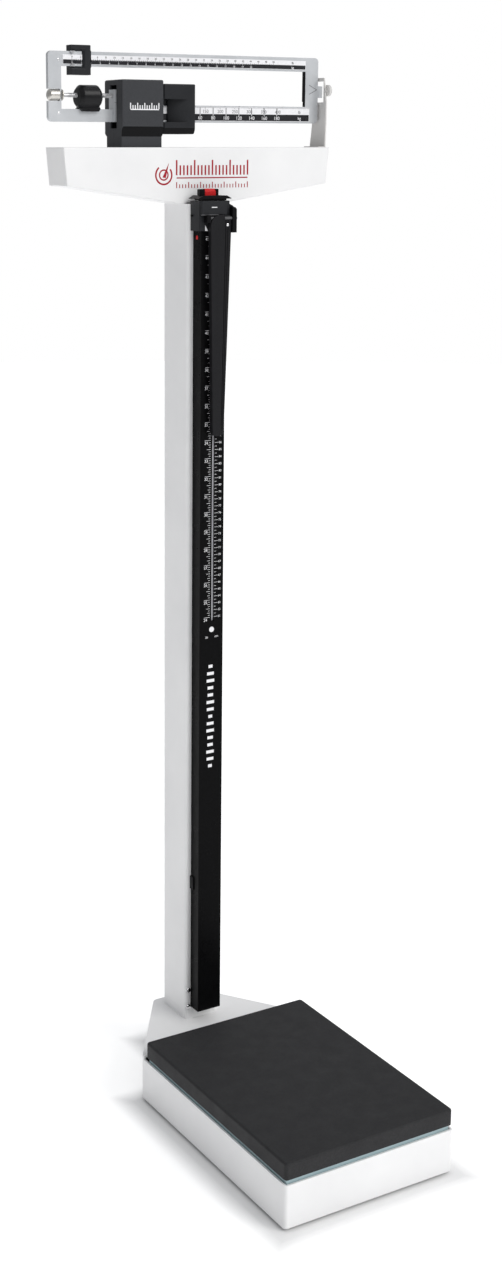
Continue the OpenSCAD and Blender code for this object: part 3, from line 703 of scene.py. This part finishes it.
def slider_parts():
    """The carriage, its white index, the bright line on its brow, a thin grey ledge that paints an edge
    highlight above the headpiece, and the small stud on its side.
    """
    low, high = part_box("slider")
    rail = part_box("rod_housing")[0].y
    front = rail - 2.4 * MM
    bm = clean_copy("slider")

    def front_left(middle, edge):
        along = (edge.verts[0].co - edge.verts[1].co).normalized()
        return abs(along.z) > 0.95 and middle.x < low.x + 2.5 * MM and middle.y < front + 0.5 * MM
    soften(bm, 1.6 * MM, 1, front_left)
    soften(bm, 0.5 * MM, 2)
    shaped("slider", POISE, bm)
    bm = clean_copy("slider_ears")
    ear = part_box("slider_ears")

    def ear_edge(middle, edge):
        return middle.x > ear[1].x - 0.5 * MM and edge.calc_length() < 12 * MM
    soften(bm, 1.6 * MM, 4, ear_edge)
    soften(bm, 0.5 * MM, 2)
    shaped("slider_ears", BLACK, bm)
    index_left, index_foot = -14.9 * MM, 1237.2 * MM
    index = Print(front)
    index.outline([(index_left, index_foot), (-10.4 * MM, index_foot), (index_left, 1245 * MM)])
    index.build("slider_index", INK_WHITE, "slider")
    brow = Print(low.y)
    brow.bar(-7.0 * MM, 1268.0 * MM, 1.6 * MM, 1269.1 * MM)
    brow.build("slider_bright_line", INK_WHITE, "slider")
    # A thin grey ledge: a painted highlight along the edge above the headpiece.
    painted_highlight_ledge = bmesh.new()
    add_box(painted_highlight_ledge, (-22.0 * MM, low.y + 0.1 * MM, 1258.2 * MM), (4.2 * MM, low.y + 4 * MM, 1259.0 * MM))
    soften(painted_highlight_ledge, 0.15 * MM, 1)
    piece("slider_painted_highlight_ledge", painted_highlight_ledge, PAINTED_HIGHLIGHT_GREY, "slider")
    stud = bmesh.new()
    add_turned(stud, [(0, 0), (0, 1.5 * MM), (2.6 * MM, 1.5 * MM), (2.9 * MM, 1.1 * MM), (2.9 * MM, 0)],
        (low.x - 2.0 * MM, 170 * MM, 1257 * MM), "X", 24)
    piece("slider_stud", stud, BLACK, "slider")


def headpiece():
    """The blade, narrower at its foot: a face with a round top corner, and a ribbed flange set back."""
    low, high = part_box("headpiece")
    left_taper, right_taper = 4.6 * MM, 9.8 * MM
    back = 3.6 * MM
    corner = 13.6 * MM
    foot = 6 * MM
    split_top, split_foot = 11.8 * MM, 7.0 * MM

    def leaning(at_top, at_foot, z):
        return at_foot + (at_top - at_foot) * (z - low.z) / (high.z - low.z)
    bm = bmesh.new()
    outline = []
    for k in range(13):
        a = math.pi / 2 + math.pi / 2 * k / 12
        outline.append((low.x + corner + corner * math.cos(a), high.z - corner + corner * math.sin(a)))
    for k in range(9):
        a = math.pi + math.pi / 2 * k / 8
        outline.append((low.x + left_taper + foot + foot * math.cos(a), low.z + foot + foot * math.sin(a)))
    outline += [(split_foot, low.z), (split_top, high.z)]
    add_prism(bm, list(reversed(outline)), low.y, high.y)
    right = [(split_foot, low.z), (high.x - right_taper - 3 * MM, low.z),
        (high.x - right_taper, low.z + 3 * MM), (high.x, high.z - 14 * MM),
        (high.x, high.z - 4 * MM), (high.x - 1.5 * MM, high.z - 0.5 * MM),
        (split_top, high.z - 0.5 * MM)]
    add_prism(bm, right, low.y + back, high.y)
    rib_front, rib_rear = low.y + back - 0.8 * MM, low.y + back + 1 * MM
    for at_top, at_foot in ((15.2 * MM, 9.2 * MM), (18.8 * MM, 11.2 * MM)):
        z0, z1 = low.z + 7 * MM, high.z - 6 * MM
        x0, x1 = leaning(at_top, at_foot, z0), leaning(at_top, at_foot, z1)
        add_prism(bm, [(x0, z0), (x0 + 1.1 * MM, z0), (x1 + 1.1 * MM, z1), (x1, z1)], rib_front, rib_rear)
    bmesh.ops.recalc_face_normals(bm, faces=bm.faces)
    soften(bm, 0.7 * MM, 3, sharp=50)
    shaped("headpiece", BLADE, bm)
    screw_bm = bmesh.new()
    screw(screw_bm, (17.6 * MM, low.y + back - 0.3 * MM, 1245 * MM), 2.3 * MM, 1.6 * MM)
    piece("headpiece_screw", screw_bm, CHROME, "headpiece")


for name in ("rod_housing", "housing_end_cap"):
    softened(name, EXTRUSION, 0.8 * MM, 3)
softened("rod_stop", INK_WHITE, 0.3 * MM)
softened("rod_marker", RED, 0.4 * MM)
softened("inner_rod", STRIP, 0.5 * MM)
softened("hinge_screw", IRON, 0.2 * MM)
height_scale()
housing_motif()
shelf_motif()
rod_cap()
button_parts()
slider_parts()
headpiece()


# ---------------------------------------------------------------- beam

def tower(node):
    """One half of the hood over the fulcrum, with painted shade (black) on its lower bevel."""
    bm = clean_copy(node)
    low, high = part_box("tower_front_cover")
    seam = high.y

    def outer(middle, edge):
        far = abs(middle.y - seam) > 20 * MM
        along = (edge.verts[0].co - edge.verts[1].co).normalized()
        upright = abs(along.z) > 0.9 and far
        roof = middle.z > high.z - 0.5 * MM and abs(middle.y - seam) > 1 * MM
        return middle.z > low.z + 5 * MM and (upright or roof) and edge.calc_length() > 12 * MM
    soften(bm, 2.8 * MM, 5, outer, 20)
    soften(bm, 0.35 * MM, 2, sharp=50)
    # The lower bevel gets black plastic: painted shade.
    paint_shade_on_lower_bevel(shaped(node, HOOD, bm), BLACK)


def tower_motif():
    """A small plain motif on the hood's front: a rule with short bars."""
    left, right = -109 * MM, -66 * MM
    rule_z, rule_half = 1396.5 * MM, 0.7 * MM
    foot = rule_z + rule_half
    marks = Print(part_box("tower_front_cover")[0].y)
    marks.bar(left, rule_z - rule_half, right, foot)
    row_of_bars(marks, left, right, foot, 12, 0.75 * MM, 7.8 * MM, 4.8 * MM, 3)
    marks.build("tower_motif", INK_WHITE, "base")


def knurled(bm, centre, x0, x1, radius, chamfer, teeth=36, rows=12):
    """A turned knob with a fine diamond knurl and chamfered ends."""
    steps = teeth * 2
    flat = [(x0, 0), (x0, radius - chamfer), (x0 + chamfer * 0.8, radius)]
    body = [(x0 + chamfer * 0.8 + (x1 - x0 - 1.6 * chamfer) * k / rows, radius) for k in range(1, rows)]
    profile = flat + body + [(x1 - chamfer * 0.8, radius), (x1, radius - chamfer), (x1, 0)]

    def diamond(i, j, r):
        if not 3 <= j < len(profile) - 3:
            return r
        return r - (0.32 * MM if (i + j) % 2 else 0)
    add_turned(bm, [(a - centre[0], r) for a, r in profile], centre, "X", steps, diamond)


def balance_parts():
    """The knob in two knurled halves, the threaded screw, and the black weight with its two cheeks."""
    low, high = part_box("balance_screw")
    axis = (0, (low.y + high.y) / 2, (low.z + high.z) / 2)
    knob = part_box("balance_knob")
    radius = (knob[1].z - knob[0].z) / 2
    web = -202.2 * MM
    bm = bmesh.new()
    knurled(bm, axis, knob[0].x, web - 0.3 * MM, radius, 1.6 * MM)
    knurled(bm, axis, web + 2.3 * MM, knob[1].x, radius, 0.6 * MM, rows=3)
    shaped("balance_knob", KNURL, bm)
    web_rear = web + 2.2 * MM
    plain_end = knob[1].x + 8 * MM
    bm = bmesh.new()
    add_rod(bm, axis, low.x, web_rear, 2.3 * MM, 32)
    add_rod(bm, axis, web_rear, plain_end, 2.5 * MM, 40)
    thread(bm, axis, plain_end - 0.1 * MM, high.x, 2.45 * MM, 3.0 * MM, 1.5 * MM)
    shaped("balance_screw", STEEL, bm)
    low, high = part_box("balance_weight")
    radius = (high.y - low.y) / 2
    centre = (0, (low.y + high.y) / 2, high.z - radius)
    chamfer = 5.2 * MM
    bm = bmesh.new()
    x0, x1 = low.x, high.x
    profile = [(x0, 0), (x0, radius - chamfer + 0.4 * MM),
        (x0 + 0.4 * MM, radius - chamfer + 0.9 * MM), (x0 + chamfer * 0.75, radius - 0.5 * MM),
        (x0 + chamfer * 0.9, radius - 0.1 * MM), (x0 + chamfer * 1.1, radius)]
    profile += [(x1 + x0 - a, r) for a, r in reversed(profile)]
    add_turned(bm, profile, centre, "X", 72)
    cheek_top = 1401 * MM
    cheek = [(x0 + 6 * MM, cheek_top), (x0 + 2 * MM, 1397.5 * MM), (x0 + 5 * MM, low.z),
        (x1 - 4 * MM, low.z), (x1 - 1.5 * MM, 1397 * MM), (x1 - 4 * MM, cheek_top)]
    for side in (-1, 1):
        y0, y1 = sorted((centre[1] + side * 3.4 * MM, centre[1] + side * 8 * MM))
        add_prism(bm, cheek, y0, y1)
    shaped("balance_weight", GLOSS_BLACK, bm)


def thread(bm, axis, x0, x1, inner, outer, pitch):
    """A helical V thread with closed ends, on a core, between two places along X."""
    steps = 24
    rings = int((x1 - x0 - pitch) / pitch * steps)
    last = None
    for k in range(rings + 1):
        angle = 2 * math.pi * k / steps
        across, up = math.cos(angle), math.sin(angle)
        x = x0 + pitch * k / steps
        ring = []
        for part, radius in ((0, inner), (0.5, outer), (0.98, inner)):
            place = (x + pitch * part, axis[1] + radius * across, axis[2] + radius * up)
            ring.append(bm.verts.new(place))
        if last is None:
            bm.faces.new(ring)
        else:
            for i in range(3):
                j = (i + 1) % 3
                bm.faces.new((last[i], last[j], ring[j], ring[i]))
        last = ring
    bm.faces.new(reversed(last))
    add_rod(bm, axis, x0, x1, inner + 0.2 * MM, 24)


def beam_frame():
    """The cast beam, with two rivets at its left end, a printed pointer, and a black pad at its right end
    that paints the shade on the beam's inner side face.
    """
    low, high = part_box("beam_frame")
    bm = soften(clean_copy("beam_frame"), 0.7 * MM, 3)
    shaped("beam_frame", SILVER, bm)
    rivets = bmesh.new()
    rivet = [(-0.35 * MM, 0), (-0.35 * MM, 1.0 * MM), (-0.1 * MM, 1.5 * MM), (0.8 * MM, 1.5 * MM),
        (0.8 * MM, 0)]
    for z in (low.z + 11 * MM, high.z - 11 * MM):
        add_turned(rivets, rivet, (low.x + 15 * MM, low.y, z), "Y", 28)
    piece("beam_rivets", rivets, CHROME, "beam")
    marks = Print(low.y)
    apex = Vector((203 * MM, 1426.6 * MM))
    for side in (-1, 1):
        tail = Vector((190 * MM, apex.y + side * 6.2 * MM))
        run = tail - apex
        aside = Vector((-run.y, run.x)).normalized() * 0.45 * MM
        corners = [apex + aside, tail + aside, tail - aside, apex - aside]
        marks.outline([tuple(corner) for corner in corners][::side])
    marks.build("beam_pointer_mark", INK_GREY, "beam")
    # A black pad: painted shade where the beam's inner side face lies in shadow.
    edge_x = high.x - 21.4 * MM
    front, rear, right = low.y + 0.6 * MM, high.y - 0.6 * MM, edge_x + 0.3 * MM
    foot, step, top = 1402.5 * MM, 1410 * MM, high.z - 18.8 * MM
    painted_shade_pad = bmesh.new()
    add_box(painted_shade_pad, (edge_x - 2.0 * MM, front, step), (right, rear, top))
    add_box(painted_shade_pad, (edge_x - 0.9 * MM, front, foot), (right, rear, step))
    soften(painted_shade_pad, 0.25 * MM, 2)
    piece("beam_stop_painted_shade_pad", painted_shade_pad, BLACK, "beam")


def upper_label():
    """Pounds above kilograms: dark marks on white, white marks on black."""
    low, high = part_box("upper_scale")
    split = 1459.3 * MM
    zero = -184.5 * MM
    pound = 6.27 * MM
    kilo = pound / KG_IN_POUND
    softened("upper_scale", LABEL, 0.12 * MM)
    band = Print(low.y)
    band.bar(low.x + 0.6 * MM, low.z + 0.5 * MM, high.x - 0.6 * MM, split)
    band.build("upper_scale_band", LABEL_DARK, "beam")
    dark = Print(low.y - 0.06 * MM)
    light = Print(low.y - 0.14 * MM)
    for half in range(101):
        x = zero + half / 2 * pound
        size = (1.9 if half % 4 == 0 else 1.3 if half % 2 == 0 else 0.8) * MM
        dark.bar(x - 0.16 * MM, split, x + 0.16 * MM, split + size)
        if half % 4 == 0:
            dark.text(str(half // 2), x, split + 3.7 * MM, 2.5 * MM)
    for fifth in range(101):
        x = zero + fifth / 5 * kilo
        if x > high.x - 70 * MM:
            break
        size = (2.0 if fifth % 5 == 0 else 1.0) * MM
        light.bar(x - 0.16 * MM, split - size, x + 0.16 * MM, split)
        if fifth % 5 == 0:
            light.text(str(fifth // 5), x, split - 3.9 * MM, 2.4 * MM)
    dark.text("lb", high.x - 22 * MM, split + 3.0 * MM, 3.4 * MM)
    light.text("kg", high.x - 22 * MM, split - 3.2 * MM, 3.2 * MM)
    dark.build("upper_scale_pounds", INK_BLACK, "beam")
    light.build("upper_scale_kilograms", INK_WHITE, "beam")


def lower_label():
    """Pounds over kilograms in the big poise's steps, laid out like the upper label."""
    low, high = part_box("lower_scale")
    split = 1391.9 * MM
    zero = -52 * MM
    kilo = 1.0405 * MM
    softened("lower_scale", LABEL, 0.12 * MM)
    band = Print(low.y)
    band.bar(low.x + 0.6 * MM, low.z + 0.7 * MM, high.x - 0.9 * MM, split)
    band.build("lower_scale_band", LABEL_DARK, "beam")
    dark = Print(low.y - 0.06 * MM)
    light = Print(low.y - 0.14 * MM)
    rule_z = high.z - 1.1 * MM
    dark.bar(low.x + 0.4 * MM, rule_z, high.x - 0.4 * MM, rule_z + 0.35 * MM)
    for step in range(10):
        x = zero + 20 * step * kilo
        dark.bar(x - 0.55 * MM, split, x + 0.55 * MM, high.z - 1.0 * MM)
        light.bar(x - 0.45 * MM, split - 2.0 * MM, x + 0.45 * MM, split)
        light.text(str(20 * step), x, split - 5.0 * MM, 4.6 * MM)
    for step in range(1, 9):
        x = zero + 50 * step * KG_IN_POUND * kilo
        dark.bar(x - 0.25 * MM, high.z - 2.6 * MM, x + 0.25 * MM, high.z - 0.9 * MM)
        dark.text(str(50 * step), x + 0.4 * MM, split + 3.6 * MM, 4.4 * MM)
    dark.text("lb", high.x - 17 * MM, split + 3.6 * MM, 4.2 * MM)
    light.text("kg", high.x - 17 * MM, split - 4.6 * MM, 4.2 * MM)
    dark.build("lower_scale_pounds", INK_GREY, "beam")
    light.build("lower_scale_kilograms", INK_WHITE, "beam")


def main_poise():
    """The big poise: soft outer corners, a recess with a sloping floor, and a bevel along its foot, painted
    black as shade.
    """
    low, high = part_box("main_poise")
    bm = clean_copy("main_poise")

    def outer(middle, edge):
        ends = middle.x < low.x + 0.2 * MM or middle.x > high.x - 0.2 * MM
        shell = middle.y < low.y + 0.2 * MM or middle.y > high.y - 0.2 * MM
        tops = middle.z > high.z - 0.2 * MM or middle.z < low.z + 0.2 * MM
        return (ends + shell + tops) >= 2
    soften(bm, 1.6 * MM, 4, outer)
    soften(bm, 0.4 * MM, 2, sharp=40)
    # The bevel along the foot gets black plastic: painted shade.
    paint_shade_on_lower_bevel(shaped("main_poise", POISE, bm), BLACK)


def small_poise():
    """The small poise: a block with a bevelled window open to the left, and two bright pointer tips."""
    low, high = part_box("small_poise")
    bm = clean_copy("small_poise")

    def window(middle, edge):
        inside = low.z + 5 * MM < middle.z < high.z - 5 * MM
        return inside and middle.y < low.y + 0.2 * MM and middle.x > low.x + 3 * MM
    soften(bm, 3.2 * MM, 1, window)
    soften(bm, 0.8 * MM, 3)
    shaped("small_poise", POISE, bm)
    tips = bmesh.new()
    label_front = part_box("upper_scale")[0].y
    x = low.x + 3 * MM
    y0, y1 = low.y + 0.3 * MM, label_front - 0.35 * MM
    for z, way in ((low.z + 10.6 * MM, 1), (high.z - 7.7 * MM, -1)):
        outline = [(x - 3.0 * MM, z), (x + 3.0 * MM, z), (x, z + way * 4.4 * MM)]
        add_prism(tips, outline if way > 0 else outline[::-1], y0, y1)
    piece("small_poise_tips", tips, CHROME, "small_poise", ["small_poise_pointer"])


def post():
    """The upright post that carries the screw, with the seam of its bored cap."""
    low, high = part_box("balance_post")
    bm = clean_copy("balance_post")
    geom = bm.verts[:] + bm.edges[:] + bm.faces[:]
    bmesh.ops.bisect_plane(bm, geom=geom, plane_co=(0, 0, 1405.6 * MM), plane_no=(0, 0, 1))
    soften(bm, 0.5 * MM, 2)
    shaped("balance_post", SILVER, bm)
    line = Print(low.y)
    line.bar(low.x + 0.3 * MM, 1405.4 * MM, high.x - 0.3 * MM, 1405.9 * MM)
    line.build("balance_post_seam", INK_GREY, "beam")


def loop():
    """The loop that holds the beam's end, and the lock's knurled knob on its stem."""
    softened("trig_loop", PALE)
    low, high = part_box("lock_knob")
    centre = (0, (low.y + high.y) / 2, (low.z + high.z) / 2)
    disc = low.x + 2.3 * MM
    bm = bmesh.new()
    knurled(bm, centre, disc, high.x, (high.z - low.z) / 2, 1.5 * MM, 30, 5)
    add_rod(bm, centre, low.x, disc + 0.5 * MM, 1.9 * MM, 28)
    shaped("lock_knob", PALE, bm)


tower("tower_front_cover")
tower("tower_rear_cover")
tower_motif()
loop()
beam_frame()
softened("beam_tip", SILVER, 0.5 * MM)
post()
upper_label()
lower_label()
main_poise()
small_poise()
balance_parts()
